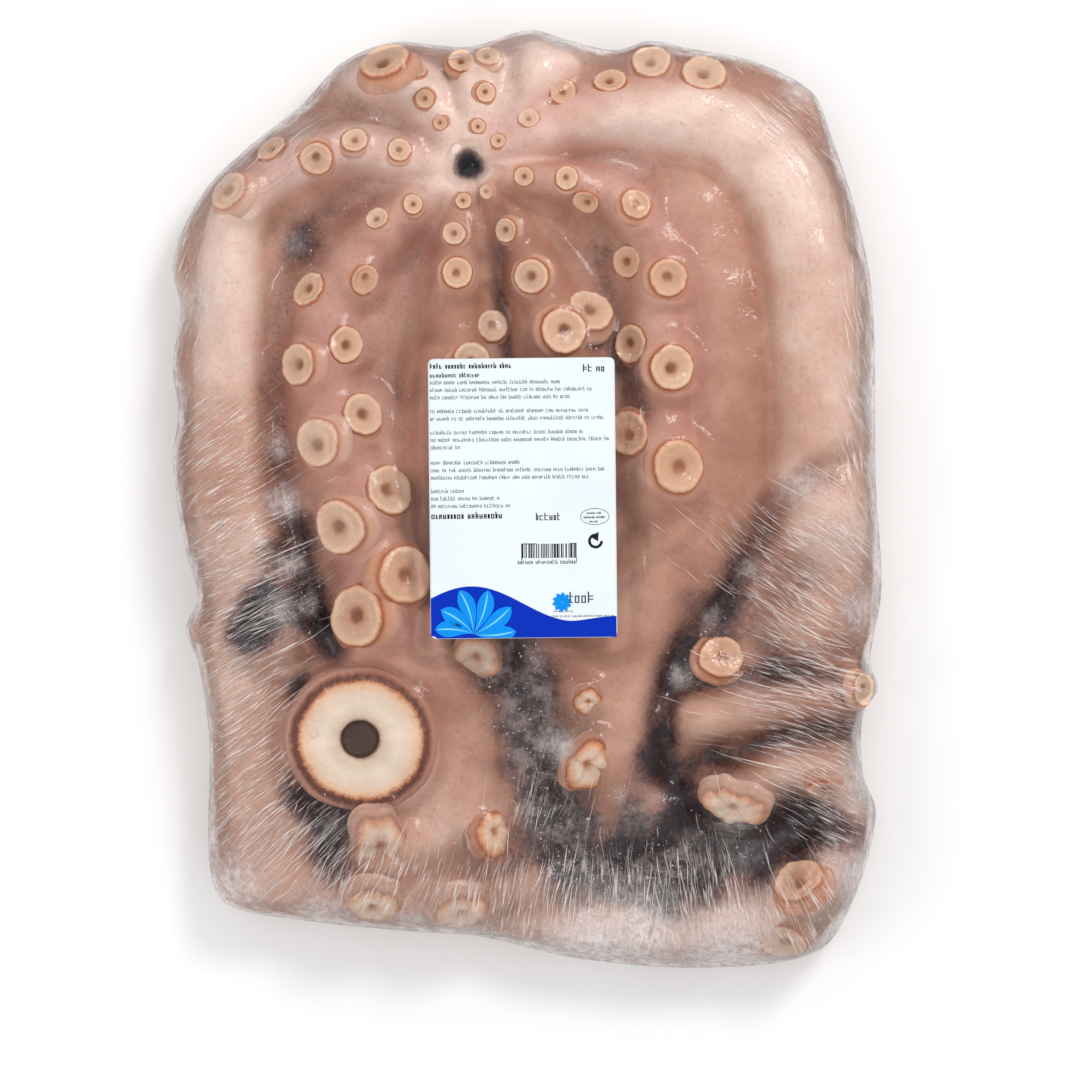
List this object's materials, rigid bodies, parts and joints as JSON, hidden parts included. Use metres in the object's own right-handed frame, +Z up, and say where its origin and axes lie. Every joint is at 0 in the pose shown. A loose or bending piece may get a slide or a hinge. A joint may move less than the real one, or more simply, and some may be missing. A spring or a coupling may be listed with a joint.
{
  "type": "frozen whole octopus pack",
  "caption": "Raw cleaned whole octopus, folded flat and frozen into a block with its suckers up, sealed in clear shrink film with a paper label on top.",
  "frame": {"origin": "centre of the flat underside's plane, under the middle of the block's bounding box", "axes": "+Z up, square to the broad face with the suckers; +Y along the block's longest side, towards the end with the mouth; +X to the right when the mouth's end is up"},
  "size_m": [0.3874, 0.5122, 0.0794],
  "materials": {
    "octopus_in_film": "pinkish tan octopus flesh with cream suckers and dark violet creases, seen through tight clear film with fine wrinkles and patches of frost",
    "label_paper": null
  },
  "bodies": {
    "root": {"wrapped_octopus": "octopus_in_film", "label": "label_paper"}
  },
  "joints": []
}
